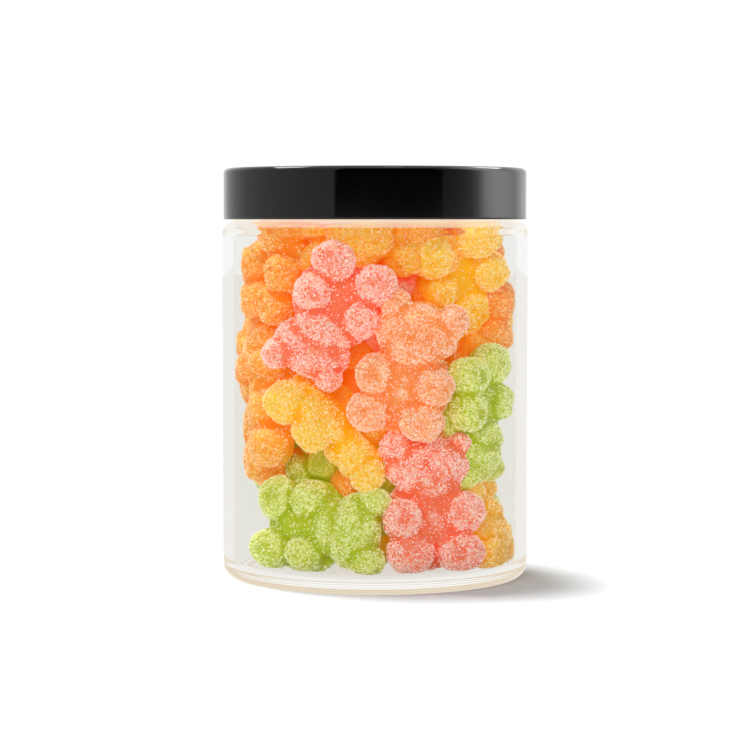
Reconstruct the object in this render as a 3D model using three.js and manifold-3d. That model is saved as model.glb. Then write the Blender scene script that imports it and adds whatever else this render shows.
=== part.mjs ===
// A straight-sided clear jar with a smooth screw lid, packed with large sugar-coated
// gummy bears. Millimetres, +Z up, the front towards -Y. The origin is the centre of the
// foot ring, on the surface that the jar stands on.

import * as THREE from "three";
import { mergeVertices } from "three/addons/utils/BufferGeometryUtils.js";
import Module from "manifold-3d";

const wasm = await Module();
wasm.setup();

// Driving dimensions of the jar
const BODY_RADIUS = 37;
const WALL = 2.7;
const INNER_RADIUS = BODY_RADIUS - WALL;
const HEEL_ARC = 3.4;
const FLOOR_TOP = 2.8;
const FLOOR_ARC = 2.4;
const FOOT_WIDTH = 2.4;
const PUSH_UP = 0.8;
const SHOULDER_Z = 83.4;
const SHOULDER_ARC = 2.6;
const SHOULDER_SWEEP = 75;
const SHOULDER_INSET = 0.5;
const NECK_WALL = 2.1;
const NECK_RADIUS = BODY_RADIUS - SHOULDER_ARC;
const NECK_INNER = NECK_RADIUS - NECK_WALL;
const RIM_Z = 97.5;

// Driving dimensions of the lid
const LID_RADIUS = 36.6;
const LID_SKIRT = 1.5;
const LID_BOTTOM = 86.5;
const LID_TOP = 98.8;
const LID_PANEL = 1;
const LID_EDGE_ARC = 1.3;

const JAR_SIDES = 40;
const ARC_STEPS = 3;
const GAP = 0.3;

// The sweets
const FILL_CLEARANCE = 1.2 * GAP;
const FILL_RADIUS = INNER_RADIUS - FILL_CLEARANCE;
const FILL_NECK_RADIUS = NECK_INNER - FILL_CLEARANCE;
const FILL_FLOOR = FLOOR_TOP + GAP;
const FILL_TOP = 92.6;
const BACK_PLANE = 4.8;
const FRONT_PLANE = -6.4;
const CORE_RADIUS = 21.5;
const CORE_BACKWARD = 1.8;
const CORE_SWELL = 0.9;
const CORE_TOP = 90.5;
const CORE_SIDES = 16;
const CORE_RINGS = 7;
const SLIDE_STEP = 0.5;

// A bear's lobes in its own frame: centres and radii. It faces -Y.
const LOBES = [
  { at: [0, 0, 7.8], radii: [9.5, 5.9, 6.6] },
  { at: [0, -0.6, 4.2], radii: [6.6, 5.6, 5.4] },
  { at: [0, 1.3, -4.3], radii: [10.3, 3.8, 11.4] },
  { at: [0, -0.3, -4.2], radii: [6, 4, 7.4] },
];
for (const side of [-1, 1]) {
  LOBES.push(
    { at: [side * 6.9, 0.2, 12.6], radii: [3.7, 4.4, 3.7] },
    { at: [side * 6.6, -2.2, -3.4], radii: [4.5, 5.2, 4.8] },
    { at: [side * 5.9, -2.4, -11.9], radii: [5.4, 5.4, 4.7] },
  );
}

// The rings that a bear's skin is drawn on, from its feet up: each starts at a height on
// its middle line and lifts by some degrees. Round the ring, 0 is the front.
const RINGS = [
  [-9.5, -50], [-10.8, -20], [-11.6, 0], [-8.2, 0], [-4.8, 0],
  [-1.6, 0], [1.8, 0], [5, 0], [8.6, 6], [9.2, 34], [9.4, 56],
];
const RING_ANGLES = [0, 24, 44, 66, 94, 136, 180, 224, 266, 294, 316, 336];

// How each bear lies. It is turned about its own length, pitched with its head outwards,
// rolled clockwise as the front sees it, and headed round the jar, 0 being the front and
// 90 the right. Then it slides out along its heading until it meets the wall, and goes
// back by the inset. across is its place sideways and z its height.
const BEARS = [
  { heading: 0, across: 7.8, z: 52, roll: 14, pitch: 2, turn: -12 },
  { heading: 0, across: 12.8, z: 20.4, roll: -3, pitch: 0, turn: 10 },
  { heading: 0, across: -10.4, z: 63.5, roll: -152, pitch: 0, turn: 0 },
  { heading: -29, across: -1.2, z: 13.4, roll: 91, pitch: 0, turn: -12 },
  { heading: 20, across: 17.4, z: 70.5, roll: 155, pitch: -22, turn: 13 },
  { heading: 0, across: -9.2, z: 37.2, roll: 137, pitch: 0, turn: 99 },
  { heading: 0, across: -25.6, z: 38.5, roll: -6, pitch: 0, turn: 70 },
  { heading: 0, across: -24.5, z: 66.9, roll: 200, pitch: 0, turn: -75 },
  { heading: 60, across: 0, z: 39, roll: 174, pitch: 0, turn: 0, inset: -0.8 },
  { heading: 72, across: 0, z: 15, roll: 184, pitch: 30, turn: 0, inset: -0.8 },
  { heading: 0, across: -2, z: 83, roll: 88, pitch: 0, turn: 0, inset: 9 },
  { heading: 0, across: -5, z: 44, roll: 70, pitch: 0, turn: 0, inset: 14 },
  { heading: 0, across: 0, z: 25, roll: 20, pitch: 0, turn: 30, inset: 13 },
  { heading: -25, across: 0, z: 25, roll: 60, pitch: 0, turn: 0, inset: 12 },
  { heading: 0, across: 9, z: 76, roll: 60, pitch: 0, turn: 0, inset: 14 },
  { heading: 66, across: 0, z: 55, roll: 95, pitch: 0, turn: 0, inset: 9 },
  { heading: -66, across: 0, z: 79, roll: 15, pitch: 0, turn: 0, inset: 1.5 },
  { heading: -76, across: 0, z: 42, roll: -20, pitch: 0, turn: 0, inset: -0.5 },
  { heading: 95, across: 0, z: 70, roll: 4, pitch: 0, turn: 0, inset: -0.8 },
  { heading: 102, across: 0, z: 47, roll: 100, pitch: 0, turn: 0, inset: 1 },
  { heading: 118, across: 0, z: 26, roll: 200, pitch: 0, turn: 0 },
  { heading: -86, across: 0, z: 62, roll: 160, pitch: 0, turn: 0, inset: -0.8 },
  { heading: -108, across: 0, z: 30, roll: 30, pitch: 0, turn: 0, inset: 1 },
  { heading: 158, across: 0, z: 15, roll: 84, pitch: 0, turn: 0 },
  { heading: 196, across: 0, z: 24, roll: 12, pitch: 0, turn: 0 },
  { heading: 226, across: 0, z: 20, roll: 190, pitch: 0, turn: 0 },
  { heading: 146, across: 0, z: 66, roll: 170, pitch: 0, turn: 0 },
  { heading: 190, across: 0, z: 50, roll: 97, pitch: 0, turn: 0 },
  { heading: 186, across: 0, z: 74, roll: 12, pitch: 0, turn: 0 },
  { heading: 226, across: 0, z: 49, roll: 24, pitch: 0, turn: 0 },
  { heading: 152, across: 0, z: 38, roll: 64, pitch: 0, turn: 0, inset: 1 },
  { heading: 228, across: 0, z: 76, roll: 80, pitch: 0, turn: 0 },
];

function arc(centreX, centreZ, radius, fromDegrees, toDegrees) {
  const points = [];
  for (let step = 0; step <= ARC_STEPS; step += 1) {
    const share = step / ARC_STEPS;
    const angle = THREE.MathUtils.degToRad(fromDegrees + (toDegrees - fromDegrees) * share);
    points.push([centreX + radius * Math.cos(angle), centreZ + radius * Math.sin(angle)]);
  }
  return points;
}

// A turned solid from a profile of [radius, height] points, stood upright on Z.
function turnedSolid(profile, sides) {
  const points = profile.map(([radius, height]) => new THREE.Vector2(radius, height));
  const geometry = new THREE.LatheGeometry(points, sides);
  geometry.rotateX(Math.PI / 2);
  return geometry;
}

function toSolid(geometry) {
  const bare = geometry.clone();
  bare.deleteAttribute("normal");
  bare.deleteAttribute("uv");
  const merged = mergeVertices(bare, 1e-4);
  return new wasm.Manifold(
    new wasm.Mesh({
      numProp: 3,
      vertProperties: new Float32Array(merged.attributes.position.array),
      triVerts: new Uint32Array(merged.index.array),
    }),
  );
}

function toGeometry(solid) {
  const mesh = solid.getMesh();
  const geometry = new THREE.BufferGeometry();
  geometry.setAttribute("position", new THREE.BufferAttribute(mesh.vertProperties, 3));
  geometry.setIndex(new THREE.BufferAttribute(mesh.triVerts, 1));
  geometry.computeVertexNormals();
  return geometry;
}

function jarGeometry() {
  const footOuter = BODY_RADIUS - HEEL_ARC;
  const footInner = footOuter - FOOT_WIDTH;
  const outside = [
    [0, PUSH_UP],
    [footInner - PUSH_UP, PUSH_UP],
    [footInner, 0],
    ...arc(footOuter, HEEL_ARC, HEEL_ARC, -90, 0),
    ...arc(NECK_RADIUS, SHOULDER_Z, SHOULDER_ARC, 0, SHOULDER_SWEEP),
    [NECK_RADIUS, LID_BOTTOM],
    [NECK_RADIUS, RIM_Z],
  ];
  const inside = [
    [NECK_INNER, RIM_Z],
    [NECK_INNER, SHOULDER_Z + SHOULDER_ARC],
    [INNER_RADIUS, SHOULDER_Z - SHOULDER_INSET],
    ...arc(INNER_RADIUS - FLOOR_ARC, FLOOR_TOP + FLOOR_ARC, FLOOR_ARC, 0, -90),
    [0, FLOOR_TOP],
  ];
  return turnedSolid([...outside, ...inside], JAR_SIDES);
}

function lidGeometry() {
  const innerRadius = LID_RADIUS - LID_SKIRT;
  return turnedSolid(
    [
      [0, LID_TOP - LID_PANEL],
      [innerRadius, LID_TOP - LID_PANEL],
      [innerRadius, LID_BOTTOM],
      [LID_RADIUS, LID_BOTTOM],
      ...arc(LID_RADIUS - LID_EDGE_ARC, LID_TOP - LID_EDGE_ARC, LID_EDGE_ARC, 0, 90),
      [0, LID_TOP],
    ],
    JAR_SIDES,
  );
}

// The room that the sweets may take: the jar's hollow, less a small gap.
function roomSolid() {
  return toSolid(
    turnedSolid(
      [
        [0, FILL_FLOOR],
        ...arc(FILL_RADIUS - FLOOR_ARC, FILL_FLOOR + FLOOR_ARC, FLOOR_ARC, -90, 0),
        [FILL_RADIUS, SHOULDER_Z - 2 * SHOULDER_INSET],
        [FILL_NECK_RADIUS, SHOULDER_Z + SHOULDER_ARC - SHOULDER_INSET],
        [FILL_NECK_RADIUS, FILL_TOP],
        [0, FILL_TOP],
      ],
      JAR_SIDES,
    ),
  );
}

// How far along a ray the far side of a lobe lies, or 0 if the ray misses it.
function exitDistance(origin, direction, { at, radii }) {
  const scaled = direction.map((part, axis) => part / radii[axis]);
  const start = origin.map((part, axis) => (part - at[axis]) / radii[axis]);
  const dot = (first, second) => first.reduce((sum, part, axis) => sum + part * second[axis], 0);
  const square = dot(scaled, scaled);
  const cross = dot(scaled, start);
  const room = cross * cross - square * (dot(start, start) - 1);
  return room > 0 ? (Math.sqrt(room) - cross) / square : 0;
}

// The point of the bear's skin that a ray from its middle line meets, flat at the back
// as the bear left its mould, and with its proudest parts evened off at the front.
function skinPoint(height, liftDegrees, roundDegrees) {
  const lift = THREE.MathUtils.degToRad(liftDegrees);
  const round = THREE.MathUtils.degToRad(roundDegrees);
  const direction = [
    Math.cos(lift) * Math.sin(round),
    -Math.cos(lift) * Math.cos(round),
    Math.sin(lift),
  ];
  const origin = [0, 0, height];
  const distance = Math.max(...LOBES.map((lobe) => exitDistance(origin, direction, lobe)));
  const [x, y, z] = direction.map((part, axis) => origin[axis] + part * distance);
  return [x, THREE.MathUtils.clamp(y, FRONT_PLANE, BACK_PLANE), z];
}

// One bear in its own frame: rings of skin points from the feet to the ears.
function bearGeometry() {
  const [feet, crown] = [RINGS[0][0], RINGS[RINGS.length - 1][0]];
  const points = [skinPoint(feet, -90, 0)];
  for (const [height, lift] of RINGS) {
    points.push(...RING_ANGLES.map((angle) => skinPoint(height, lift, angle)));
  }
  points.push(skinPoint(crown, 90, 0));
  const count = RING_ANGLES.length;
  const last = points.length - 1;
  const triangles = [];
  for (let at = 0; at < count; at += 1) {
    const next = (at + 1) % count;
    triangles.push(0, 1 + next, 1 + at);
    for (let ring = 0; ring < RINGS.length - 1; ring += 1) {
      const low = 1 + ring * count;
      const high = low + count;
      triangles.push(low + at, low + next, high + next, low + at, high + next, high + at);
    }
    triangles.push(last - count + at, last - count + next, last);
  }
  const bear = new THREE.BufferGeometry();
  bear.setAttribute("position", new THREE.Float32BufferAttribute(points.flat(), 3));
  bear.setIndex(triangles);
  return bear;
}

function bearRotation({ heading, roll, pitch, turn }) {
  const turns = [
    new THREE.Matrix4().makeRotationZ(THREE.MathUtils.degToRad(heading)),
    new THREE.Matrix4().makeRotationY(THREE.MathUtils.degToRad(roll)),
    new THREE.Matrix4().makeRotationX(THREE.MathUtils.degToRad(pitch)),
    new THREE.Matrix4().makeRotationZ(THREE.MathUtils.degToRad(turn)),
  ];
  return turns.reduce((whole, next) => whole.multiply(next), new THREE.Matrix4());
}

// How far a turned lobe reaches from its centre in a direction.
function support(rotation, radii, direction) {
  const local = direction.clone().transformDirection(rotation.clone().transpose());
  return Math.hypot(local.x * radii[0], local.y * radii[1], local.z * radii[2]);
}

function outerReach(rotation, where) {
  let farthest = 0;
  for (const { at, radii } of LOBES) {
    const centre = new THREE.Vector3(...at).applyMatrix4(rotation).add(where);
    const flat = new THREE.Vector3(centre.x, centre.y, 0);
    const distance = flat.length();
    farthest = Math.max(farthest, distance + support(rotation, radii, flat.normalize()));
  }
  return farthest;
}

// The height that keeps a bear's lowest lobe on the floor of the jar.
function restingHeight(rotation, z) {
  const down = new THREE.Vector3(0, 0, -1);
  let lowest = Infinity;
  for (const { at, radii } of LOBES) {
    const centre = new THREE.Vector3(...at).applyMatrix4(rotation);
    lowest = Math.min(lowest, centre.z - support(rotation, radii, down));
  }
  return Math.max(z, FILL_FLOOR - lowest);
}

function bearPlace(bear) {
  const rotation = bearRotation(bear);
  const heading = THREE.MathUtils.degToRad(bear.heading);
  const out = new THREE.Vector3(Math.sin(heading), -Math.cos(heading), 0);
  const sideways = new THREE.Vector3(Math.cos(heading), Math.sin(heading), 0);
  const base = sideways.multiplyScalar(bear.across);
  base.z = restingHeight(rotation, bear.z);
  let best = { reach: Infinity, distance: 0 };
  for (let distance = INNER_RADIUS; distance > -INNER_RADIUS; distance -= SLIDE_STEP) {
    const reach = outerReach(rotation, base.clone().addScaledVector(out, distance));
    if (reach < best.reach) {
      best = { reach, distance };
    }
    if (reach <= INNER_RADIUS) {
      break;
    }
  }
  const where = base.addScaledVector(out, best.distance - (bear.inset ?? 0));
  return rotation.setPosition(where);
}

// The middle of the heap, where no single sweet shows: a lumpy upright drum.
function coreSolid() {
  const height = CORE_TOP - FILL_FLOOR;
  const drum = new THREE.CylinderGeometry(
    CORE_RADIUS, CORE_RADIUS, height, CORE_SIDES, CORE_RINGS,
  );
  drum.rotateX(Math.PI / 2);
  const positions = drum.attributes.position;
  for (let index = 0; index < positions.count; index += 1) {
    const point = new THREE.Vector3().fromBufferAttribute(positions, index);
    const radius = Math.hypot(point.x, point.y);
    if (radius < 1) {
      continue;
    }
    const angle = Math.atan2(point.y, point.x);
    const lump = Math.sin(5 * angle + 0.31 * point.z) * Math.cos(0.24 * point.z - 2 * angle);
    const share = 1 + (CORE_SWELL * lump) / CORE_RADIUS;
    positions.setXY(index, point.x * share, point.y * share);
  }
  drum.translate(0, CORE_BACKWARD, FILL_FLOOR + height / 2);
  return toSolid(drum);
}

// Keeps the outermost skin of a solid, so that hollows which fusing sealed are filled and
// loose scraps are dropped.
function outerSkin(geometry) {
  const index = geometry.index.array;
  const leader = Array.from({ length: geometry.attributes.position.count }, (_, at) => at);
  const find = (at) => {
    let top = at;
    while (leader[top] !== top) {
      leader[top] = leader[leader[top]];
      top = leader[top];
    }
    return top;
  };
  for (let at = 0; at < index.length; at += 3) {
    leader[find(index[at])] = find(index[at + 1]);
    leader[find(index[at + 1])] = find(index[at + 2]);
  }
  const sizes = new Map();
  for (let at = 0; at < index.length; at += 3) {
    const skin = find(index[at]);
    sizes.set(skin, (sizes.get(skin) ?? 0) + 1);
  }
  const largest = [...sizes].reduce((best, next) => (next[1] > best[1] ? next : best))[0];
  const kept = [];
  for (let at = 0; at < index.length; at += 3) {
    if (find(index[at]) === largest) {
      kept.push(index[at], index[at + 1], index[at + 2]);
    }
  }
  geometry.setIndex(kept);
  return geometry;
}

function sweetsGeometry() {
  const bear = bearGeometry();
  let heap = coreSolid();
  for (const lie of BEARS) {
    heap = heap.add(toSolid(bear.clone().applyMatrix4(bearPlace(lie))));
  }
  return outerSkin(toGeometry(heap.intersect(roomSolid())));
}

const clear = new THREE.MeshStandardMaterial({
  color: 0xf4f7f7, roughness: 0.03, metalness: 0, transparent: true, opacity: 0.3,
});
const glossyBlack = new THREE.MeshStandardMaterial({
  color: 0x060606, roughness: 0.12, metalness: 0,
});
const sugaredGummy = new THREE.MeshStandardMaterial({
  color: 0xf6a04a, roughness: 0.6, metalness: 0,
});

const pieces = [
  ["jar", jarGeometry(), clear],
  ["lid", lidGeometry(), glossyBlack],
  ["gummy_bears", sweetsGeometry(), sugaredGummy],
];

const whole = new THREE.Group();
for (const [name, geometry, material] of pieces) {
  const mesh = new THREE.Mesh(geometry, material);
  mesh.name = name;
  whole.add(mesh);
}

export default whole;
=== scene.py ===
"""A straight-sided clear jar with a glossy screw lid, packed with large sugar-coated
gummy bears, on a pale floor in soft studio light."""

import math

import bmesh
import bpy
import numpy as np
from mathutils import Euler, Matrix, Vector
from mathutils.bvhtree import BVHTree


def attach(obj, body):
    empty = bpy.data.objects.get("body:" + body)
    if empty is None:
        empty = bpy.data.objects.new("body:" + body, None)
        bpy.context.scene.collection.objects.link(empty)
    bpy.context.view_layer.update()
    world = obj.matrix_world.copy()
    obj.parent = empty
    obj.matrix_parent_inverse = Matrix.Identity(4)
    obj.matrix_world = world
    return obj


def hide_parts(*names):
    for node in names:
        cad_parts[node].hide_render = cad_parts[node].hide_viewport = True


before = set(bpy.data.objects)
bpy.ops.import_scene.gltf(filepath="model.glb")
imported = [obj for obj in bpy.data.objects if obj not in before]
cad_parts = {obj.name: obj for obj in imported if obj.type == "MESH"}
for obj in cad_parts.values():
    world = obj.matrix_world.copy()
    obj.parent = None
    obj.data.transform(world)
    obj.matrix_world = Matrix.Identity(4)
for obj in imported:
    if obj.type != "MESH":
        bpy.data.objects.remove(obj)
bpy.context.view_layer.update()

MM = 0.001

# The jar and its lid, in millimetres as the solids have them, apart from the gentler turn at
# the top of the hollow
BODY_RADIUS = 37.0
WALL = 2.7
INNER_RADIUS = BODY_RADIUS - WALL
HEEL_ARC = 3.4
FLOOR_TOP = 2.8
FLOOR_ARC = 2.4
FOOT_WIDTH = 2.4
PUSH_UP = 0.8
SHOULDER_Z = 83.4
SHOULDER_ARC = 2.6
SHOULDER_SWEEP = 75
NECK_WALL = 2.1
NECK_RADIUS = BODY_RADIUS - SHOULDER_ARC
NECK_INNER = NECK_RADIUS - NECK_WALL
RIM_Z = 97.5
INNER_TURN_LOW = 82.5
INNER_TURN_TOP = 87.2
LID_RADIUS = 36.6
LID_SKIRT = 1.5
LID_BOTTOM = 86.5
LID_TOP = 98.8
LID_PANEL = 1.0
LID_EDGE_ARC = 1.3
LIP_ARC = 0.2
TURNED_SIDES = 192

# A turned piece has extra rings along its straight stretches, so that they shade flat
SUPPORT_SPACING = 6.0
SUPPORT_NEAR = 0.25

# The room that the bears may take, and the planes that flatten each one's back and front
WALL_GAP = 0.4
FILL_TOP = 92.4
FLOOR_GAP = 0.1
BACK_PLANE = 4.8
BACK_EASE = 0.6
FRONT_PLANE = -5.1
FRONT_EASE = 1.4
LIFT_GAP = 0.3
SLIDE_STEP = 0.5

# A bear's lobes in its own frame, in millimetres: centres and radii. It faces -Y.
MIDDLE_LOBES = [
    ((0, 0.0, 7.8), (9.5, 5.9, 6.6)),
    ((0, -0.6, 4.2), (6.6, 5.6, 5.4)),
    ((0, 1.3, -4.3), (10.3, 3.8, 11.4)),
    ((0, -0.3, -4.2), (6.0, 4.0, 7.4)),
]
SIDE_LOBES = [
    ((6.9, 0.2, 12.6), (3.7, 4.4, 3.7)),
    ((6.6, -2.2, -3.4), (4.5, 5.2, 4.8)),
    ((5.9, -2.4, -11.9), (5.4, 5.4, 4.7)),
]

# How each bear lies: its colour, where it heads round the jar (0 is the front and 90 the
# right), its place sideways, its height, how far it is rolled, pitched and turned about its
# own length, and how far it stands back from the wall (below 0 it is pressed against it).
LIES = [
    ("peach", 0, 7.8, 52, 14, 2, -12, 0),
    ("pink", 0, 12.8, 20.4, -3, 0, 10, 0),
    ("pink", 0, -10.4, 63.5, -152, 0, 0, 0),
    ("green", -29, -1.2, 13.4, 91, 0, -12, 0),
    ("yellow", 20, 17.4, 70.5, 155, -22, 13, 0),
    ("yellow", 0, -9.2, 37.2, 137, 0, 106, 0),
    ("orange", 0, -25.6, 38.5, -6, 0, 70, 0),
    ("orange", 0, -24.5, 66.9, 200, 0, -75, 0),
    ("green", 60, 0, 39, 174, 0, 0, -0.8),
    ("yellow", 72, 0, 15, 184, 30, 0, -0.8),
    ("orange", 0, -2, 83, 88, 0, 0, 9),
    ("orange", 0, -5, 44, 70, 0, 0, 14),
    ("orange", 0, 0, 25, 20, 0, 30, 13),
    ("green", -25, 0, 25, 60, 0, 0, 12),
    ("orange", 0, 9, 76, 60, 0, 0, 14),
    ("orange", 66, 0, 55, 95, 0, 0, 9),
    ("orange", -66, 0, 79, 15, 0, 0, 1.5),
    ("orange", -76, 0, 42, -20, 0, 0, -0.5),
    ("orange", 95, 0, 70, 4, 0, 0, -0.8),
    ("orange", 102, 0, 47, 100, 0, 0, 1),
    ("green", 118, 0, 26, 200, 0, 0, 0),
    ("orange", -86, 0, 62, 160, 0, 0, -0.8),
    ("green", -108, 0, 30, 30, 0, 0, 1),
    ("pink", 158, 0, 15, 84, 0, 0, 0),
    ("orange", 196, 0, 24, 12, 0, 0, 0),
    ("green", 226, 0, 20, 190, 0, 0, 0),
    ("yellow", 146, 0, 66, 170, 0, 0, 0),
    ("orange", 190, 0, 50, 97, 0, 0, 0),
    ("pink", 186, 0, 74, 12, 0, 0, 0),
    ("peach", 226, 0, 49, 24, 0, 0, 0),
    ("green", 152, 0, 38, 64, 0, 0, 1),
    ("orange", 228, 0, 76, 80, 0, 0, 0),
]
COLOURS = ["orange", "peach", "yellow", "pink", "green"]

# The bears deeper in, which only show through the gaps: rings of them round the core
INNER_LEVELS = (15.0, 33.0, 51.0, 68.0, 84.0)
INNER_EACH = 5
INNER_INSETS = (15.5, 15.5, 15.5, 15.0, 9.0)
INNER_COLOURS = ("orange", "orange", "orange", "yellow", "pink", "orange", "green")

# The plain core behind them all
CORE_RADIUS = 15.0
CORE_SWELL = 1.1
CORE_BOTTOM = 17.0
CORE_TOP = 89.0
CORE_SIDES = 96
CORE_RINGS = 60

# Each colour's gel and the paler frosting that its sugar makes of it, in linear light. The
# whiter grains are paler still, and the lid varies between two tones. The core varies between
# the orange gel and a deeper orange, a painted shade for the gaps where it shows.
GEL = {
    "orange": (1.0, 0.30, 0.006),
    "peach": (1.0, 0.25, 0.055),
    "yellow": (1.0, 0.47, 0.002),
    "pink": (0.98, 0.15, 0.065),
    "green": (0.48, 0.54, 0.004),
}
FROST = {
    "orange": (1.0, 0.60, 0.15),
    "peach": (1.0, 0.63, 0.40),
    "yellow": (1.0, 0.71, 0.18),
    "pink": (1.0, 0.66, 0.55),
    "green": (0.83, 0.86, 0.32),
}
LOOSE_FROST = (1.0, 0.86, 0.78)
PALENESS = 0.4
CORE_GEL_AND_SHADE = ((1.0, 0.15, 0.0), (1.0, 0.30, 0.004))
LID_TONES = ((0.0004, 0.0004, 0.0005), (0.001, 0.001, 0.0012))

# How strongly the gel and the grains glow: a painted glow, standing in for light held in them
PAINTED_GLOW = 0.15
PAINTED_GRAIN_GLOW = 0.2

# The jar's clear material: its tint, that tint at one face, how much gloss it keeps, how it
# lets light through, and the painted warm glow that a ray sees once it is caught in it after
# some bounces
GLASS_IOR = 1.5
GLASS_TINT = (0.905, 0.912, 0.90, 1)
FACE_TINT = tuple(math.sqrt(part) for part in GLASS_TINT)
GLASS_GLOSS_TINT = (0.06, 0.06, 0.06, 1)
GLASS_GLINT = 0.2
GLASS_SHADE = (0.88, 0.88, 0.88, 1)
TRAPPED_GLOW_COLOUR = (1, 0.85, 0.66, 1)
TRAPPED_GLOW_STRENGTH = 0.82
TRAPPED_BOUNCES = 4.5

# The painted glow on the neck of the glass, which stands in for light from the bears scattered
# there: its share, the heights between which it sets in, its colour and its strength
NECK_GLOW_SHARE = 0.42
NECK_GLOW_LOW = 84.5
NECK_GLOW_HIGH = 84.8
NECK_GLOW_COLOUR = (1, 0.92, 0.80, 1)
NECK_GLOW_STRENGTH = 0.97

# How finely a bear is made, in millimetres
VOXEL = 0.5
INNER_VOXEL = 0.8
LOBE_DETAIL = 4
SMOOTHING = 4
SMOOTH_FACTOR = 0.6
LOBE_SHIFT = 0.35
SIZE_SPREAD = 0.045
LUMP_HEIGHT = 0.22
LUMP_LENGTH = 4.5
LUMP_WAVES = 6
WAVES_SCALE = 3.2

# Where sugar sits, and where the bare gel shows deeper as painted shade in creases and between
# bears: what counts as open and as raised, in millimetres, and the share left in the creases
SKIN_GAP = 0.08
OPEN_REACH = 4.0
OPEN_FROM = 0.2
OPEN_TO = 3.0
OPEN_ROUNDS = 3
RAISED_TO = 0.42
RAISED_ROUNDS = 40
CREASE_SUGAR_AND_SHADE = 0.14

# The grains of sugar: half their width, with how far they stand off the skin and how far they
# reach as shares of it, and the share of them that lies where the coat is thinnest
GRAINS_PER_MM2 = 5.0
GRAIN_LIMIT = 32000
GRAIN_SIZE = (0.11, 0.29)
GRAIN_RAISE = 0.25
GRAIN_REACH = 1.3
GRAIN_GAP = 0.02
LEAST_GRAINS = 0.10
BARE_COAT = 0.03

# Grains lie only where a view can reach: away from the jar's axis, and not facing it
SEEN_RADIUS = 20
SEEN_FACING = -0.35

# The grains on the jar's floor, with the shares of its area that they lie between
LOOSE_GRAINS = 260
LOOSE_SIZE = (0.12, 0.28)
LOOSE_RAISE = 0.8
LOOSE_SPREAD = (0.55, 1.0)

# A grain's usual shape: two three-sided pyramids, base to base
GRAIN = np.array([(1, 0, 0), (-0.5, 0.87, 0), (-0.5, -0.87, 0), (0, 0, 0.95), (0, 0, -0.95)])
GRAIN_FACES = np.array([(0, 1, 3), (1, 2, 3), (2, 0, 3), (1, 0, 4), (2, 1, 4), (0, 2, 4)])

# Seeds, so that each run gives the same heap
INNER_SEED = 9
BEAR_SEED = 100
TONE_SEED = 40
GRAIN_SEED = 500
LOOSE_SEED = 77

# The camera, from the photograph: its distance from the jar's axis, its height and tilt
CAMERA_DISTANCE = 600.0
CAMERA_HEIGHT = 86.8
CAMERA_TILT = 3.63
CAMERA_LENS = 118.7
SENSOR = 36.0

# The light: what the studio looks like and how much it lights, the sun with a direction
# that points towards it, and a fill from the front, in metres
STUDIO_WHITE = 1.02
AMBIENT = 0.33
SUN_DIRECTION = (-0.22, 0.18, 0.96)
SUN_SPREAD = 15
SUN_POWER = 3.3
FILL_PLACE = (-0.25, -1.05, 0.70)
FILL_AIM = (0, 0, 0.05)
FILL_SIZE = (0.9, 0.6)
FILL_POWER = 7.5

# The floor: half its width, its own colour, and how it looks in the glass and the lid
FLOOR_REACH = 3000.0
FLOOR_COLOUR = (0.755, 0.775, 0.80, 1)
FLOOR_GLOW_COLOUR = (1, 0.975, 0.94, 1)
FLOOR_GLOW = 0.95

# What the lid mirrors at its own height: bearings from the front, positive to the right, and
# how bright the studio is there
CARD_RADIUS = 900.0
CARD_LOW = 78.0
CARD_HIGH = 1500.0
CARD_STEPS = 300
CARD_STOPS = [
    (-150, 0.9), (-113, 0.68), (-79, 0.66), (-43, 0.5), (-30, 0.48), (-29, 0.0), (50, 0.0),
    (51, 0.18), (62, 0.25), (75, 0.5), (82, 1.1), (90, 2.8), (100, 3.1), (113, 2.2), (128, 1.15),
    (150, 1.3),
]

# What the lid's rounded edge mirrors overhead: a direction, a card's size and its strength
OVERHEAD_DISTANCE = 1000
OVERHEAD = [
    ((-0.47, 0.33, 0.82), (480, 240), 9.0),
    ((0.12, 0.02, 0.99), (160, 120), 5.0),
    ((0.52, 0.55, 0.65), (420, 260), 7.0),
]


def linked(name, content):
    """A new object in the scene that holds a mesh, a light or a camera."""
    holder = bpy.data.objects.new(name, content)
    bpy.context.scene.collection.objects.link(holder)
    return holder


def hide_from(holder, *rays):
    """Keeps an object from being seen by these kinds of rays."""
    for kind in rays:
        setattr(holder, f"visible_{kind}", False)


def mesh_object(name, points, faces, smooth=True):
    """A piece from arrays of points, in millimetres, and of faces with equal corners."""
    points = np.asarray(points, float)
    faces = np.asarray(faces, np.int32)
    mesh = bpy.data.meshes.new(name)
    count, corners = faces.shape
    mesh.vertices.add(len(points))
    mesh.vertices.foreach_set("co", (points * MM).ravel())
    mesh.loops.add(count * corners)
    mesh.loops.foreach_set("vertex_index", faces.ravel())
    mesh.polygons.add(count)
    mesh.polygons.foreach_set("loop_start", np.arange(count, dtype=np.int32) * corners)
    mesh.polygons.foreach_set("use_smooth", np.full(count, smooth))
    mesh.update(calc_edges=True)
    return linked(name, mesh)


def arc(centre, radius, start, end, steps):
    """Points on an arc of a profile, from one angle to another in degrees."""
    angles = np.radians(np.linspace(start, end, steps + 1))
    across = centre[0] + radius * np.cos(angles)
    up = centre[1] + radius * np.sin(angles)
    return list(zip(across, up))


def with_supports(profile):
    """Adds points to a profile's long straight stretches, near both ends and in between."""
    points = [profile[0]]
    for start, end in zip(profile, profile[1:]):
        length = math.dist(start, end)
        if length > 4 * SUPPORT_NEAR:
            edge = SUPPORT_NEAR / length
            count = max(2, int(length / SUPPORT_SPACING) + 1)
            for share in np.linspace(edge, 1 - edge, count):
                points.append(tuple(a + (b - a) * share for a, b in zip(start, end)))
        points.append(end)
    return points


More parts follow.
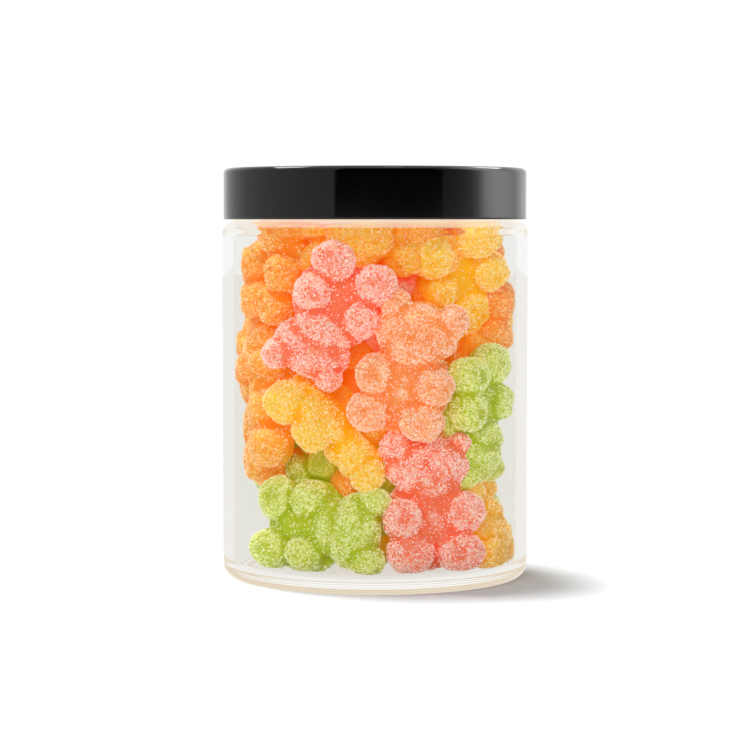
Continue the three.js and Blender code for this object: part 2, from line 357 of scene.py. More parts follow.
def turned_piece(name, profile):
    """A closed turned piece from a profile that starts and ends on the axis."""
    rings = np.array(with_supports(profile)[1:-1])
    angles = 2 * math.pi * np.arange(TURNED_SIDES) / TURNED_SIDES
    directions = np.stack([np.cos(angles), np.sin(angles)], 1)
    heights = np.broadcast_to(rings[:, None, 1:], (len(rings), TURNED_SIDES, 1))
    body = np.concatenate([rings[:, None, :1] * directions[None], heights], 2).reshape(-1, 3)
    ends = [(0, 0, profile[0][1]), (0, 0, profile[-1][1])]
    points = np.concatenate([body, ends]) * MM
    pairs = [(side, (side + 1) % TURNED_SIDES) for side in range(TURNED_SIDES)]
    faces = []
    for low in range(0, len(body) - TURNED_SIDES, TURNED_SIDES):
        high = low + TURNED_SIDES
        faces += [(low + a, low + b, high + b, high + a) for a, b in pairs]
    last = len(body) - TURNED_SIDES
    foot, crown = len(body), len(body) + 1
    faces += [(foot, b, a) for a, b in pairs]
    faces += [(crown, last + a, last + b) for a, b in pairs]
    closed = bpy.data.meshes.new(name)
    closed.from_pydata(points.tolist(), [], faces)
    closed.polygons.foreach_set("use_smooth", np.full(len(faces), True))
    closed.update()
    return linked(name, closed)


def inner_radius_at(z):
    """The radius of the jar's hollow, which draws in gently below the neck."""
    share = np.clip((z - INNER_TURN_LOW) / (INNER_TURN_TOP - INNER_TURN_LOW), 0, 1)
    return INNER_RADIUS - (INNER_RADIUS - NECK_INNER) * share * share * (3 - 2 * share)


def jar_profile():
    """The jar's outside from the axis up to the rim, and its inside back down."""
    foot_outer = BODY_RADIUS - HEEL_ARC
    foot_inner = foot_outer - FOOT_WIDTH
    dish_arc = 1.2
    foot_arc = 0.5
    ease = 0.15
    rim = NECK_WALL / 2
    outside = [
        (0, PUSH_UP),
        *arc((foot_inner - dish_arc, PUSH_UP - dish_arc), dish_arc, 90, 50, 4),
        *arc((foot_inner + 0.3, foot_arc), foot_arc, 215, 270, 4),
        *arc((foot_outer, HEEL_ARC), HEEL_ARC, -90, 0, 14),
        *arc((NECK_RADIUS, SHOULDER_Z), SHOULDER_ARC, 0, SHOULDER_SWEEP, 12),
        (NECK_RADIUS + ease, SHOULDER_Z + SHOULDER_ARC + ease),
        (NECK_RADIUS, SHOULDER_Z + SHOULDER_ARC + 0.5),
        *arc((NECK_INNER + rim, RIM_Z - rim), rim, 0, 180, 10),
    ]
    inside = [
        *((inner_radius_at(z), z) for z in np.linspace(INNER_TURN_TOP, INNER_TURN_LOW, 16)),
        *arc((INNER_RADIUS - FLOOR_ARC, FLOOR_TOP + FLOOR_ARC), FLOOR_ARC, 0, -90, 12),
        (0, FLOOR_TOP),
    ]
    return outside + inside


def lid_profile():
    """The lid's inside from the axis out to its lower edge, and its outside back up."""
    inner = LID_RADIUS - LID_SKIRT
    panel = LID_TOP - LID_PANEL
    corner = 0.6
    return [
        (0, panel),
        *arc((inner - corner, panel - corner), corner, 90, 0, 4),
        *arc((inner + LIP_ARC, LID_BOTTOM + LIP_ARC), LIP_ARC, 180, 270, 4),
        *arc((LID_RADIUS - LIP_ARC, LID_BOTTOM + LIP_ARC), LIP_ARC, -90, 0, 5),
        *arc((LID_RADIUS - LID_EDGE_ARC, LID_TOP - LID_EDGE_ARC), LID_EDGE_ARC, 0, 90, 14),
        (0, LID_TOP),
    ]


def lobes_of(dice):
    """One bear's lobes, each a little unlike the usual ones."""
    lobes = [(np.array(at, float), np.array(radii, float)) for at, radii in MIDDLE_LOBES]
    for side in (-1, 1):
        for at, radii in SIDE_LOBES:
            lobes.append((np.array((side * at[0], at[1], at[2])), np.array(radii)))
    uneven = []
    for at, radii in lobes:
        shift = dice.normal(0, LOBE_SHIFT, 3)
        swell = 1 + dice.normal(0, SIZE_SPREAD, 3)
        uneven.append((at + shift, radii * swell))
    return uneven


def usual_lobes():
    """The lobes that settle where a bear comes to lie, as the solids have them."""
    lobes = [(Vector(at), radii) for at, radii in MIDDLE_LOBES]
    for side in (-1, 1):
        lobes += [(Vector((side * at[0], at[1], at[2])), radii) for at, radii in SIDE_LOBES]
    return lobes


def lie_rotation(heading, roll, pitch, turn):
    """A bear's rotation: turned about its own length, pitched, rolled and headed."""
    return (
        Matrix.Rotation(math.radians(heading), 3, "Z")
        @ Matrix.Rotation(math.radians(roll), 3, "Y")
        @ Matrix.Rotation(math.radians(pitch), 3, "X")
        @ Matrix.Rotation(math.radians(turn), 3, "Z")
    )


def support(rotation, radii, direction):
    """How far a turned lobe reaches from its centre in a direction."""
    local = rotation.transposed() @ direction
    return math.hypot(*(part * radius for part, radius in zip(local, radii)))


def outer_reach(rotation, where, lobes):
    """How far a placed bear reaches from the jar's axis."""
    farthest = 0.0
    for at, radii in lobes:
        centre = rotation @ at + where
        flat = Vector((centre.x, centre.y, 0))
        reach = flat.length + support(rotation, radii, flat.normalized())
        farthest = max(farthest, reach)
    return farthest


def lie_place(lie, lobes):
    """A bear's rotation and place: clear of the floor, and as far out along its heading as
    the wall allows, less its inset."""
    _, heading, across, height, roll, pitch, turn, inset = lie
    rotation = lie_rotation(heading, roll, pitch, turn)
    down = Vector((0, 0, -1))
    lowest = min((rotation @ at).z - support(rotation, radii, down) for at, radii in lobes)
    angle = math.radians(heading)
    out = Vector((math.sin(angle), -math.cos(angle), 0))
    base = Vector((math.cos(angle), math.sin(angle), 0)) * across
    base.z = max(height, FLOOR_TOP + LIFT_GAP - lowest)
    best = (math.inf, 0.0)
    distance = INNER_RADIUS
    while distance > -INNER_RADIUS:
        reach = outer_reach(rotation, base + out * distance, lobes)
        best = min(best, (reach, distance))
        if reach <= INNER_RADIUS:
            break
        distance -= SLIDE_STEP
    return rotation, base + out * (best[1] - inset)


def ellipsoid_mesh(lobes):
    """The lobes as one mesh of overlapping ellipsoids, in millimetres."""
    sphere = bpy.data.meshes.new("lobe")
    shape = bmesh.new()
    for at, radii in lobes:
        place = Matrix.Translation(Vector(at)) @ Matrix.Diagonal((*radii, 1))
        bmesh.ops.create_icosphere(shape, subdivisions=LOBE_DETAIL, radius=1, matrix=place)
    shape.to_mesh(sphere)
    shape.free()
    return sphere


def arrays_of(mesh):
    """A mesh of quads as arrays of its points and of their corners."""
    points = np.empty(len(mesh.vertices) * 3)
    mesh.vertices.foreach_get("co", points)
    corners = np.empty(len(mesh.loops), np.int32)
    mesh.loops.foreach_get("vertex_index", corners)
    return points.reshape(-1, 3), corners.reshape(-1, 4)


def inner_lies():
    """Lies for the bears behind, spread evenly and turned at random."""
    dice = np.random.default_rng(INNER_SEED)
    lies = []
    for level, height in enumerate(INNER_LEVELS):
        for place in range(INNER_EACH):
            heading = 360 / INNER_EACH * (place + 0.5 * (level % 2)) + dice.uniform(-12, 12)
            colour = INNER_COLOURS[dice.integers(len(INNER_COLOURS))]
            turns = dice.uniform((0, -15, -60), (360, 15, 60))
            lies.append((colour, heading, 0, height, *turns, INNER_INSETS[level]))
    return lies


def bear_form(dice, voxel):
    """One bear in its own frame: its lobes fused to one soft skin, flattened back and front."""
    mesh = ellipsoid_mesh(lobes_of(dice))
    holder = linked("form", mesh)
    remesh = holder.modifiers.new("fuse", "REMESH")
    remesh.mode = "VOXEL"
    remesh.voxel_size = voxel
    soften = holder.modifiers.new("soften", "SMOOTH")
    soften.factor = SMOOTH_FACTOR
    soften.iterations = SMOOTHING
    graph = bpy.context.evaluated_depsgraph_get()
    points, quads = arrays_of(holder.evaluated_get(graph).to_mesh())
    bpy.data.objects.remove(holder)
    bpy.data.meshes.remove(mesh)
    depth = points[:, 1]
    past = np.maximum(depth - (BACK_PLANE - BACK_EASE), 0)
    depth -= past - BACK_EASE * np.tanh(past / BACK_EASE)
    past = np.maximum(FRONT_PLANE - depth, 0)
    depth += past - FRONT_EASE * np.tanh(past / FRONT_EASE)
    return points, quads


def waves(points, length, seed):
    """Smooth uneven bumps, mostly between -1 and 1, from a few crossing waves."""
    dice = np.random.default_rng(seed)
    total = np.zeros(len(points))
    for _ in range(LUMP_WAVES):
        direction = dice.normal(size=3)
        direction *= 2 * math.pi / (length * dice.uniform(0.7, 1.5) * np.linalg.norm(direction))
        total += np.sin(points @ direction + dice.uniform(0, 2 * math.pi))
    return total / WAVES_SCALE


def edges_of(quads):
    """Each edge of the quads once, as a pair of points."""
    pairs = np.concatenate([quads[:, [0, 1]], quads[:, [1, 2]], quads[:, [2, 3]], quads[:, [3, 0]]])
    pairs.sort(axis=1)
    return np.unique(pairs, axis=0)


def neighbour_mean(values, edges):
    """Each point's mean over its neighbours."""
    count = len(values)
    near = np.maximum(np.bincount(edges.ravel(), minlength=count), 1)
    columns = values.reshape(count, -1)
    sums = np.zeros(columns.shape)
    for column in range(columns.shape[1]):
        sums[:, column] = np.bincount(edges[:, 0], columns[edges[:, 1], column], count)
        sums[:, column] += np.bincount(edges[:, 1], columns[edges[:, 0], column], count)
    return (sums / near[:, None]).reshape(values.shape)


def point_normals(points, quads):
    """Each point's normal, from the quads round it."""
    diagonal = points[quads[:, 2]] - points[quads[:, 0]]
    other = points[quads[:, 3]] - points[quads[:, 1]]
    flat = np.cross(diagonal, other)
    normals = np.zeros_like(points)
    for corner in range(4):
        for axis in range(3):
            normals[:, axis] += np.bincount(quads[:, corner], flat[:, axis], len(points))
    return normals / np.maximum(np.linalg.norm(normals, axis=1), 1e-9)[:, None]


def smooth_step(low, high, values):
    """Values eased from 0 at the low limit to 1 at the high one."""
    share = np.clip((values - low) / (high - low), 0, 1)
    return share * share * (3 - 2 * share)


def convexity(points, normals, edges):
    """How far each point stands proud of its surroundings, in millimetres."""
    level = points
    for _ in range(RAISED_ROUNDS):
        level = neighbour_mean(level, edges)
    return ((points - level) * normals).sum(1)


def fit_in_jar(points):
    """Presses what passes the glass or the floor back against it."""
    limit = inner_radius_at(points[:, 2]) - WALL_GAP
    radius = np.hypot(points[:, 0], points[:, 1])
    share = np.minimum(1, limit / np.maximum(radius, 1e-6))
    points[:, 0] *= share
    points[:, 1] *= share
    corner = np.maximum(0, radius * share - (INNER_RADIUS - FLOOR_ARC))
    lift = FLOOR_ARC - np.sqrt(np.maximum(FLOOR_ARC**2 - corner**2, 0))
    points[:, 2] = np.clip(points[:, 2], FLOOR_TOP + FLOOR_GAP + lift, FILL_TOP)
    return points


def placed_bears():
    """Every bear as a dict of its colour, its mesh and how much sugar each point carries, which
    also sets the painted shade in its creases.
    """
    lobes = usual_lobes()
    bears = []
    for number, lie in enumerate(LIES + inner_lies()):
        dice = np.random.default_rng(BEAR_SEED + number)
        points, quads = bear_form(dice, VOXEL if number < len(LIES) else INNER_VOXEL)
        rotation, where = lie_place(lie, lobes)
        normals = point_normals(points, quads)
        points = points + normals * (LUMP_HEIGHT * waves(points, LUMP_LENGTH, number))[:, None]
        points = points @ np.array(rotation).T + np.array(where)
        points = fit_in_jar(points)
        normals = point_normals(points, quads)
        edges = edges_of(quads)
        proud = convexity(points, normals, edges)
        bears.append(
            {"colour": lie[0], "points": points, "quads": quads, "normals": normals,
             "edges": edges, "proud": proud}
        )
    add_sugar_and_shade(bears)
    return bears


def joined(bears):
    """The points and the quads of several bears as those of one mesh."""
    offset = 0
    quads = []
    for bear in bears:
        quads.append(bear["quads"] + offset)
        offset += len(bear["points"])
    return np.concatenate([bear["points"] for bear in bears]), np.concatenate(quads)


def add_sugar_and_shade(bears):
    """Works out how much sugar each point carries: most where it stands proud and open,
    least in the creases and where another bear presses close. Where it is least, the deeper gel
    paints shade into those creases and gaps."""
    points, quads = joined(bears)
    tree = BVHTree.FromPolygons(points.tolist(), quads.tolist())
    for bear in bears:
        nearness = np.full(len(bear["points"]), OPEN_REACH)
        starts = bear["points"] + bear["normals"] * SKIN_GAP
        for index, (start, normal) in enumerate(zip(starts.tolist(), bear["normals"].tolist())):
            place, _, _, distance = tree.ray_cast(start, normal, OPEN_REACH)
            if place is not None:
                nearness[index] = distance
        openness = smooth_step(OPEN_FROM, OPEN_TO, nearness)
        for _ in range(OPEN_ROUNDS):
            openness = neighbour_mean(openness, bear["edges"])
        raised = smooth_step(0.0, RAISED_TO, bear["proud"])
        # Less sugar also leaves the deeper gel colour, painted shade in creases and between bears
        sugar_and_shade = openness * (CREASE_SUGAR_AND_SHADE + (1 - CREASE_SUGAR_AND_SHADE) * raised)
        bear["sugar_and_shade"] = np.clip(sugar_and_shade, 0, 1)


def node(tree, kind, **sockets):
    """A new shader node with these values on its sockets, whose names have _ for a space."""
    made = tree.nodes.new(kind)
    for name, value in sockets.items():
        made.inputs[name.replace("_", " ")].default_value = value
    return made


def ray_is(tree, kind):
    """1 for a ray of this kind and 0 for any other."""
    return tree.nodes.new("ShaderNodeLightPath").outputs[f"Is {kind} Ray"]


def object_place(tree):
    """The place on the piece, for textures that stay with it."""
    return tree.nodes.new("ShaderNodeTexCoord").outputs["Object"]


def mixed(tree, share, first, second):
    """One shader that turns into another with a share."""
    made = tree.nodes.new("ShaderNodeMixShader")
    for socket, source in zip(made.inputs, (share, first, second)):
        tree.links.new(source, socket)
    return made.outputs[0]


def new_material(name):
    """A material with its node tree and the node that its surface goes into."""
    material = bpy.data.materials.new(name)
    material.use_nodes = True
    tree = material.node_tree
    tree.nodes.clear()
    output = tree.nodes.new("ShaderNodeOutputMaterial")
    return material, tree, output


def ramp(tree, source, stops):
    """A colour ramp on a value, from (position, grey) stops."""
    made = tree.nodes.new("ShaderNodeValToRGB")
    elements = made.color_ramp.elements
    while len(elements) < len(stops):
        elements.new(0.5)
    for element, (position, grey) in zip(elements, stops):
        element.position = position
        element.color = (grey, grey, grey, 1)
    tree.links.new(source, made.inputs["Fac"])
    return made.outputs["Color"]


def combine(tree, operation, first, second):
    """One operation of the maths node on two values or sockets, kept between 0 and 1."""
    made = tree.nodes.new("ShaderNodeMath")
    made.operation = operation
    made.use_clamp = True
    for socket, value in zip(made.inputs, (first, second)):
        if isinstance(value, (int, float)):
            socket.default_value = value
        else:
            tree.links.new(value, socket)
    return made.outputs[0]


def mix_colours(tree, share, first, second):
    """One colour that turns into another with a share. Either may be a socket."""
    made = tree.nodes.new("ShaderNodeMix")
    made.data_type = "RGBA"
    for name, value in (("Factor", share), ("A", first), ("B", second)):
        socket = next(s for s in made.inputs if s.name == name and s.enabled)
        if isinstance(value, tuple):
            socket.default_value = (*value, 1)
        else:
            tree.links.new(value, socket)
    return next(s for s in made.outputs if s.enabled)


def varied(tree, colour):
    """Shifts a colour a little from bear to bear, by the tone that each one carries."""
    tone = tree.nodes.new("ShaderNodeAttribute")
    tone.attribute_name = "tone"
    shift = tree.nodes.new("ShaderNodeHueSaturation")
    for socket, low, high in (("Hue", 0.490, 0.512), ("Value", 0.93, 1.05)):
        spread = node(tree, "ShaderNodeMapRange", To_Min=low, To_Max=high)
        tree.links.new(tone.outputs["Fac"], spread.inputs["Value"])
        tree.links.new(spread.outputs["Result"], shift.inputs[socket])
    tree.links.new(colour, shift.inputs["Color"])
    return shift.outputs["Color"]


def gummy_material(colour):
    """Soft gel with a painted glow, under a broken crust of fine sugar that thins in the creases,
    where the deeper gel paints shade.
    """
    material, tree, output = new_material(f"gummy_{colour}")
    link = tree.links.new
    sugar_and_shade = tree.nodes.new("ShaderNodeAttribute")
    sugar_and_shade.attribute_name = "sugar_and_shade"
    fine = node(tree, "ShaderNodeTexNoise", Scale=1450.0, Detail=3.0, Roughness=0.65)
    patches = node(tree, "ShaderNodeTexNoise", Scale=330.0, Detail=2.0, Roughness=0.5)
    for texture in (fine, patches):
        link(object_place(tree), texture.inputs["Vector"])
    specks = ramp(tree, fine.outputs["Fac"], [(0.42, 0.14), (0.57, 1.0)])
    islands = ramp(tree, patches.outputs["Fac"], [(0.34, 0.5), (0.56, 1.0)])
    # The pale crust mix: sugar, and a painted deeper shade where the share is low
    crust_and_shade = combine(tree, "MULTIPLY", sugar_and_shade.outputs["Fac"], islands)
    crust_and_shade = combine(tree, "MULTIPLY", crust_and_shade, specks)
    surface = varied(tree, mix_colours(tree, crust_and_shade, GEL[colour], FROST[colour]))
    # The emission is a painted glow, standing in for light held in the gel
    shader = node(
        tree, "ShaderNodeBsdfPrincipled", Roughness=0.42, IOR=1.45, Subsurface_Weight=0.85,
        Subsurface_Radius=(1.0, 0.42, 0.12), Subsurface_Scale=5.0 * MM, Specular_IOR_Level=0.3,
        Sheen_Weight=0.15, Sheen_Roughness=0.5, Sheen_Tint=(*FROST[colour], 1),
        Emission_Color=(*GEL[colour], 1), Emission_Strength=PAINTED_GLOW,
    )
    link(surface, shader.inputs["Base Color"])
    bump = node(tree, "ShaderNodeBump", Strength=0.6, Distance=0.2 * MM)
    link(combine(tree, "MULTIPLY", fine.outputs["Fac"], sugar_and_shade.outputs["Fac"]), bump.inputs["Height"])
    link(bump.outputs["Normal"], shader.inputs["Normal"])
    link(shader.outputs["BSDF"], output.inputs["Surface"])
    return material


def sugar_material(colour):
    """Pale grains with a faint painted glow, some whiter and some tinted by the gel that they sit
    on.
    """
    material, tree, output = new_material(f"sugar_{colour}")
    frost = FROST.get(colour, LOOSE_FROST)
    pale = tuple((1 - PALENESS) * part + PALENESS for part in frost)
    fine = node(tree, "ShaderNodeTexNoise", Scale=1500.0, Detail=1.0)
    tree.links.new(object_place(tree), fine.inputs["Vector"])
    whiter = ramp(tree, fine.outputs["Fac"], [(0.42, 0.0), (0.62, 1.0)])
    tone = mix_colours(tree, whiter, frost, pale)
    # The emission is a painted glow on the grains
    shader = node(
        tree, "ShaderNodeBsdfPrincipled", Roughness=0.2, IOR=1.54, Emission_Color=(*pale, 1),
        Emission_Strength=PAINTED_GRAIN_GLOW,
    )
    tree.links.new(tone, shader.inputs["Base Color"])
    tree.links.new(shader.outputs["BSDF"], output.inputs["Surface"])
    return material


def glass_material():
    """Clear glass that lets light through to what it holds, with a painted glow on its neck and a
    painted warm glow for rays caught in it after some bounces.
    """
    material, tree, output = new_material("clear_glass")
    link = tree.links.new
    glass = node(
        tree, "ShaderNodeBsdfPrincipled", Roughness=0.0, IOR=GLASS_IOR, Base_Color=GLASS_TINT,
        Transmission_Weight=1.0, Specular_Tint=GLASS_GLOSS_TINT,
    )
    entry = node(
        tree, "ShaderNodeBsdfRefraction", Color=FACE_TINT, Roughness=0.0, IOR=GLASS_IOR
    )
    mirror = node(tree, "ShaderNodeFresnel", IOR=GLASS_IOR)
    total = combine(tree, "GREATER_THAN", mirror.outputs["Fac"], 0.5)
    gloss = combine(tree, "MAXIMUM", total, GLASS_GLINT)
    surface = mixed(tree, gloss, entry.outputs[0], glass.outputs[0])
    parts = tree.nodes.new("ShaderNodeSeparateXYZ")
    link(object_place(tree), parts.inputs[0])
    height = node(
        tree, "ShaderNodeMapRange", From_Min=NECK_GLOW_LOW * MM, From_Max=NECK_GLOW_HIGH * MM, To_Max=NECK_GLOW_SHARE
    )
    link(parts.outputs["Z"], height.inputs["Value"])
    # A painted glow on the neck, standing in for light from the bears scattered there
    neck_glow = node(tree, "ShaderNodeEmission", Color=NECK_GLOW_COLOUR, Strength=NECK_GLOW_STRENGTH)
    with_neck_glow = mixed(tree, height.outputs["Result"], surface, neck_glow.outputs[0])
    path = tree.nodes.new("ShaderNodeLightPath")
    deep = combine(tree, "GREATER_THAN", path.outputs["Ray Depth"], TRAPPED_BOUNCES)
    # Rays caught after some bounces see a painted warm glow in place of the glass
    trapped_glow = node(tree, "ShaderNodeEmission", Color=TRAPPED_GLOW_COLOUR, Strength=TRAPPED_GLOW_STRENGTH)
    inner = mixed(tree, deep, with_neck_glow, trapped_glow.outputs[0])
    clear = node(tree, "ShaderNodeBsdfTransparent", Color=GLASS_SHADE)
    lit = combine(tree, "MAXIMUM", path.outputs["Is Shadow Ray"], path.outputs["Is Diffuse Ray"])
    link(mixed(tree, lit, inner, clear.outputs[0]), output.inputs["Surface"])
    return material


def lid_material():
    """Glossy black moulded plastic with a faint unevenness."""
    material, tree, output = new_material("black_lid")
    cloud = node(tree, "ShaderNodeTexNoise", Scale=55.0, Detail=3.0)
    tree.links.new(object_place(tree), cloud.inputs["Vector"])
    tone = mix_colours(tree, cloud.outputs["Fac"], *LID_TONES)
    rough = ramp(tree, cloud.outputs["Fac"], [(0.3, 0.06), (0.7, 0.10)])
    shader = node(tree, "ShaderNodeBsdfPrincipled", IOR=1.5)
    tree.links.new(tone, shader.inputs["Base Color"])
    tree.links.new(rough, shader.inputs["Roughness"])
    tree.links.new(shader.outputs["BSDF"], output.inputs["Surface"])
    return material


def core_material():
    """The middle of the heap, seen only in the gaps, with a painted glow and a deeper orange that
    paints the shade there.
    """
    material, tree, output = new_material("gummy_core")
    patches = node(tree, "ShaderNodeTexNoise", Scale=70.0, Detail=1.0)
    tree.links.new(object_place(tree), patches.inputs["Vector"])
    # Random patches between the orange gel and a deeper orange, painted shade for the gaps; the
    # emission is a painted glow
    tone = mix_colours(tree, patches.outputs["Fac"], *CORE_GEL_AND_SHADE)
    shader = node(
        tree, "ShaderNodeBsdfPrincipled", Roughness=0.35, Subsurface_Weight=0.8,
        Subsurface_Radius=(1.0, 0.4, 0.1), Subsurface_Scale=6.0 * MM,
        Emission_Color=(*GEL["orange"], 1), Emission_Strength=PAINTED_GLOW,
    )
    tree.links.new(tone, shader.inputs["Base Color"])
    tree.links.new(shader.outputs["BSDF"], output.inputs["Surface"])
    return material


def set_value(piece, name, values):
    """Stores a value for each of a piece's points, for its material to read."""
    attribute = piece.data.attributes.new(name, "FLOAT", "POINT")
    attribute.data.foreach_set("value", values)


def bear_pieces(bears):
    """One piece of bears for each colour."""
    pieces = []
    for colour in COLOURS:
        chosen = [bear for bear in bears if bear["colour"] == colour]
        piece = mesh_object(f"gummy_bears_{colour}", *joined(chosen))
        # The sugar share per point, which also paints deeper shade in creases and between bears
        set_value(piece, "sugar_and_shade", np.concatenate([bear["sugar_and_shade"] for bear in chosen]))
        tones = np.random.default_rng(TONE_SEED + len(chosen)).uniform(0, 1, len(chosen))
        set_value(piece, "tone", np.repeat(tones, [len(bear["points"]) for bear in chosen]))
        piece.data.materials.append(gummy_material(colour))
        pieces.append(piece)
    return pieces


def core_piece():
    """A lumpy upright drum behind the bears."""
    heights = np.linspace(CORE_BOTTOM, CORE_TOP, CORE_RINGS)
    angles = 2 * math.pi * np.arange(CORE_SIDES) / CORE_SIDES
    tall, bearing = np.meshgrid(heights, angles, indexing="ij")
    lump = np.sin(5 * bearing + 0.31 * tall) * np.cos(0.24 * tall - 2 * bearing)
    reach = CORE_RADIUS + CORE_SWELL * lump
    body = np.stack([reach * np.cos(bearing), reach * np.sin(bearing), tall], 2).reshape(-1, 3)
    quads = []
    for low in range(0, len(body) - CORE_SIDES, CORE_SIDES):
        high = low + CORE_SIDES
        for side in range(CORE_SIDES):
            after = (side + 1) % CORE_SIDES
            quads.append((low + side, low + after, high + after, high + side))
    piece = mesh_object("heap_core", body, quads)
    drum = bmesh.new()
    drum.from_mesh(piece.data)
    bmesh.ops.holes_fill(drum, edges=[e for e in drum.edges if e.is_boundary])
    drum.to_mesh(piece.data)
    drum.free()
    piece.data.materials.append(core_material())
    return piece


def random_turns(dice, count):
    """Random rotations, as matrices."""
    quaternions = dice.normal(size=(count, 4))
    quaternions /= np.linalg.norm(quaternions, axis=1)[:, None]
    w, x, y, z = quaternions.T
    return np.stack(
        [
            np.stack([1 - 2 * (y * y + z * z), 2 * (x * y - w * z), 2 * (x * z + w * y)], 1),
            np.stack([2 * (x * y + w * z), 1 - 2 * (x * x + z * z), 2 * (y * z - w * x)], 1),
            np.stack([2 * (x * z - w * y), 2 * (y * z + w * x), 1 - 2 * (x * x + y * y)], 1),
        ],
        1,
    )


def grain_piece(name, places, sizes, dice):
    """Irregular grains of sugar at these places."""
    count = len(places)
    shapes = GRAIN[None] * dice.uniform(0.7, 1.3, (count, len(GRAIN), 1))
    shapes = np.einsum("nij,nvj->nvi", random_turns(dice, count), shapes) * sizes[:, None, None]
    points = (shapes + places[:, None]).reshape(-1, 3)
    firsts = len(GRAIN) * np.arange(count)
    faces = (GRAIN_FACES[None] + firsts[:, None, None]).reshape(-1, 3)
    return mesh_object(name, points, faces, smooth=False)


def grains_on(chosen, dice):
    """Places and sizes for grains on these bears, closest together where the coat is thick."""
    spots = []
    outward = []
    for bear in chosen:
        quads = bear["quads"]
        corners = bear["points"][quads]
        area = np.linalg.norm(
            np.cross(corners[:, 2] - corners[:, 0], corners[:, 3] - corners[:, 1]), axis=1
        ) / 2
        sugar_and_shade = bear["sugar_and_shade"][quads].mean(1)
        middle = corners.mean(1)
        outer = np.hypot(middle[:, 0], middle[:, 1])
        facing = (bear["normals"][quads].mean(1)[:, :2] * middle[:, :2]).sum(1) / outer
        seen = (outer > SEEN_RADIUS) & (facing > SEEN_FACING)
        share = (LEAST_GRAINS + (1 - LEAST_GRAINS) * sugar_and_shade) * (sugar_and_shade > BARE_COAT)
        wanted = area * GRAINS_PER_MM2 * share * seen
        picked = np.repeat(np.arange(len(quads)), dice.poisson(wanted))
        weights = dice.dirichlet((1, 1, 1, 1), len(picked))
        spots.append((corners[picked] * weights[:, :, None]).sum(1))
        outward.append((bear["normals"][quads[picked]] * weights[:, :, None]).sum(1))
    spots = np.concatenate(spots)
    outward = np.concatenate(outward)
    if len(spots) > GRAIN_LIMIT:
        kept = dice.choice(len(spots), GRAIN_LIMIT, replace=False)
        spots = spots[kept]
        outward = outward[kept]
    sizes = dice.uniform(*GRAIN_SIZE, len(spots)) * dice.uniform(0.8, 1.25, len(spots))
    return spots + outward * (GRAIN_RAISE * sizes)[:, None], sizes


def sugar_pieces(bears):
    """One piece of grains for each colour of bears, and one for those on the jar's floor."""
    pieces = []
    for number, colour in enumerate(COLOURS):
        dice = np.random.default_rng(GRAIN_SEED + number)
        chosen = [bear for bear in bears if bear["colour"] == colour]
        places, sizes = grains_on(chosen, dice)
        radius = np.hypot(places[:, 0], places[:, 1])
        reach = GRAIN_REACH * sizes
        clear = radius + reach < inner_radius_at(places[:, 2]) - GRAIN_GAP
        clear &= places[:, 2] - reach > FLOOR_TOP
        piece = grain_piece(f"sugar_{colour}", places[clear], sizes[clear], dice)
        piece.data.materials.append(sugar_material(colour))
        pieces.append(piece)
    dice = np.random.default_rng(LOOSE_SEED)
    angle = dice.uniform(0, 2 * math.pi, LOOSE_GRAINS)
    radius = (INNER_RADIUS - FLOOR_ARC) * np.sqrt(dice.uniform(*LOOSE_SPREAD, LOOSE_GRAINS))
    sizes = dice.uniform(*LOOSE_SIZE, LOOSE_GRAINS)
    height = FLOOR_TOP + LOOSE_RAISE * sizes
    places = np.stack([radius * np.cos(angle), radius * np.sin(angle), height], 1)
    loose = grain_piece("loose_sugar", places, sizes, dice)
    loose.data.materials.append(sugar_material("loose"))
    pieces.append(loose)
    return pieces


def make_camera():
    """The photograph's camera, level but for a slight tilt down."""
    camera = bpy.data.cameras.new("camera")
    camera.lens = CAMERA_LENS
    camera.sensor_width = SENSOR
    camera.clip_start = 0.01
    holder = linked("camera", camera)
    holder.location = (0, -CAMERA_DISTANCE * MM, CAMERA_HEIGHT * MM)
    holder.rotation_euler = Euler((math.radians(90 - CAMERA_TILT), 0, 0))
    bpy.context.scene.camera = holder


def make_fill():
    """A broad weak light from the front, to the left and above."""
    fill = bpy.data.lights.new("fill", "AREA")
    fill.shape = "RECTANGLE"
    fill.size, fill.size_y = FILL_SIZE
    fill.energy = FILL_POWER
    holder = linked("fill", fill)
    holder.location = FILL_PLACE
    direction = Vector(FILL_AIM) - Vector(FILL_PLACE)
    holder.rotation_euler = direction.to_track_quat("-Z", "Y").to_euler()
    hide_from(holder, "glossy", "camera", "transmission")


def make_world():
    """A white studio that looks brighter than it lights."""
    world = bpy.data.worlds.new("studio")
    world.use_nodes = True
    tree = world.node_tree
    background = tree.nodes["Background"]
    background.inputs["Color"].default_value = (1, 1, 1, 1)
    level = node(tree, "ShaderNodeMapRange", To_Min=STUDIO_WHITE, To_Max=AMBIENT)
    tree.links.new(ray_is(tree, "Diffuse"), level.inputs["Value"])
    tree.links.new(level.outputs["Result"], background.inputs["Strength"])
    bpy.context.scene.world = world
    bpy.context.scene.view_settings.view_transform = "Standard"


def make_sun():
    """A broad soft light from above, behind and to the left."""
    sun = bpy.data.lights.new("sun", "SUN")
    sun.energy = SUN_POWER
    sun.angle = math.radians(SUN_SPREAD)
    holder = linked("sun", sun)
    holder.rotation_euler = Vector(SUN_DIRECTION).to_track_quat("Z", "Y").to_euler()
    hide_from(holder, "glossy")


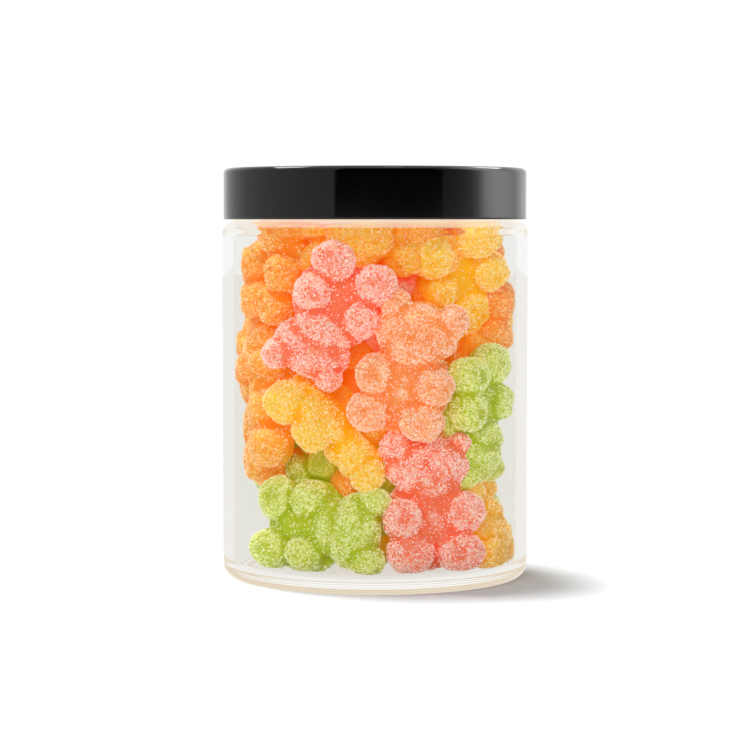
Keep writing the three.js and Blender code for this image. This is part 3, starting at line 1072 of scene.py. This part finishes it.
def make_floor():
    """A pale floor, which looks evenly bright through the glass."""
    corners = [(-1, -1, 0), (1, -1, 0), (1, 1, 0), (-1, 1, 0)]
    floor = mesh_object("floor", np.array(corners) * FLOOR_REACH, [(0, 1, 2, 3)])
    material, tree, output = new_material("pale_floor")
    shader = node(tree, "ShaderNodeBsdfDiffuse", Color=FLOOR_COLOUR)
    bright = node(tree, "ShaderNodeEmission", Color=FLOOR_GLOW_COLOUR, Strength=FLOOR_GLOW)
    through = combine(tree, "MAXIMUM", ray_is(tree, "Transmission"), ray_is(tree, "Glossy"))
    surface = mixed(tree, through, shader.outputs[0], bright.outputs[0])
    tree.links.new(surface, output.inputs["Surface"])
    floor.data.materials.append(material)


def glow_card(name, points, quads, strengths):
    """A card that only reflections see, with a brightness for each point."""
    card = mesh_object(name, points, quads)
    set_value(card, "glow", np.asarray(strengths, float))
    material, tree, output = new_material(name)
    glow = tree.nodes.new("ShaderNodeAttribute")
    glow.attribute_name = "glow"
    shade = tree.nodes.new("ShaderNodeEmission")
    tree.links.new(glow.outputs["Fac"], shade.inputs["Strength"])
    tree.links.new(shade.outputs[0], output.inputs["Surface"])
    card.data.materials.append(material)
    hide_from(card, "camera", "diffuse", "transmission", "volume_scatter", "shadow")


def upright_card():
    """A curved card round the jar at the lid's height, graded from bearing to bearing."""
    bearings = np.linspace(CARD_STOPS[0][0], CARD_STOPS[-1][0], CARD_STEPS + 1)
    strengths = np.interp(bearings, *zip(*CARD_STOPS))
    angles = np.radians(bearings)
    lower = np.stack(
        [CARD_RADIUS * np.sin(angles), -CARD_RADIUS * np.cos(angles),
         np.full(CARD_STEPS + 1, CARD_LOW)], 1
    )
    upper = lower + (0, 0, CARD_HIGH - CARD_LOW)
    after = CARD_STEPS + 1
    quads = [(i, i + 1, after + i + 1, after + i) for i in range(CARD_STEPS)]
    glow_card("lid_card", np.concatenate([lower, upper]), quads, np.tile(strengths, 2))


def overhead_card(name, direction, size, strength):
    """A card high up, square to a direction from the lid."""
    towards = Vector(direction).normalized()
    turn = np.array(towards.to_track_quat("Z", "Y").to_matrix())
    half = np.array(size) / 2
    corners = np.array([(-1, -1), (1, -1), (1, 1), (-1, 1)]) * half
    flat = np.column_stack([corners, np.zeros(4)])
    middle = np.array(towards) * OVERHEAD_DISTANCE + (0, 0, LID_TOP)
    glow_card(name, flat @ turn.T + middle, [(0, 1, 2, 3)], [strength] * 4)


make_camera()
make_world()
make_floor()
make_sun()
make_fill()
upright_card()
for number, (direction, size, strength) in enumerate(OVERHEAD):
    overhead_card(f"overhead_{number}", direction, size, strength)

jar = turned_piece("glass_jar", jar_profile())
jar.data.materials.append(glass_material())
lid = turned_piece("screw_lid", lid_profile())
lid.data.materials.append(lid_material())
hide_from(lid, "transmission", "glossy", "shadow")
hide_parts("jar")
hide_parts("lid")

all_bears = placed_bears()
heap = bear_pieces(all_bears)
core = core_piece()
sugar = sugar_pieces(all_bears)
for piece in heap + [core] + sugar:
    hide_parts("gummy_bears")
for piece in [jar, lid, core] + heap + sugar:
    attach(piece, "root")
